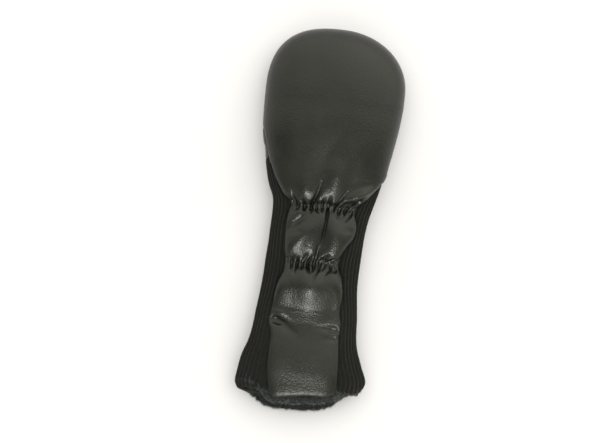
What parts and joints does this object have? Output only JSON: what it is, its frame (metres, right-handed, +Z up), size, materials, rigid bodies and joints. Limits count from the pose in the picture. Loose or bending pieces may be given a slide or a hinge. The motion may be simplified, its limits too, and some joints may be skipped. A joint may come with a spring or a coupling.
{
  "type": "driver head cover",
  "caption": "Soft padded cover for a golf driver's head, with a wide leather crown, a shirred leather strip down each face, rib-knit sides and a plush lining.",
  "frame": {"origin": "on the table, under the middle of the cover's length and width, with the cover lying on its back", "axes": "+Y from the mouth to the closed end of the crown, +Z up out of the front face, +X to the right seen from the front with the crown up"},
  "size_m": [0.1394, 0.3801, 0.057],
  "materials": {
    "leather": "pebbled, semi-matt",
    "rib_knit": "matt rib knit",
    "plush": "deep pile",
    "thread": "matt thread",
    "elastic": "woven elastic"
  },
  "bodies": {
    "root": {"front_leather_panel": "leather", "back_leather_panel": "leather", "left_knit_gusset": "rib_knit", "right_knit_gusset": "rib_knit", "front_plush_lining": "plush", "back_plush_lining": "plush", "mouth_seam_thread": "thread", "front_left_seam_thread": "thread", "front_right_seam_thread": "thread", "back_left_seam_thread": "thread", "back_right_seam_thread": "thread", "crown_seam_thread": "thread", "front_upper_elastic_stitches": "thread", "front_lower_elastic_stitches": "thread", "back_upper_elastic_stitches": "thread", "back_lower_elastic_stitches": "thread", "front_upper_elastic": "elastic", "front_lower_elastic": "elastic", "back_upper_elastic": "elastic", "back_lower_elastic": "elastic"}
  },
  "joints": []
}
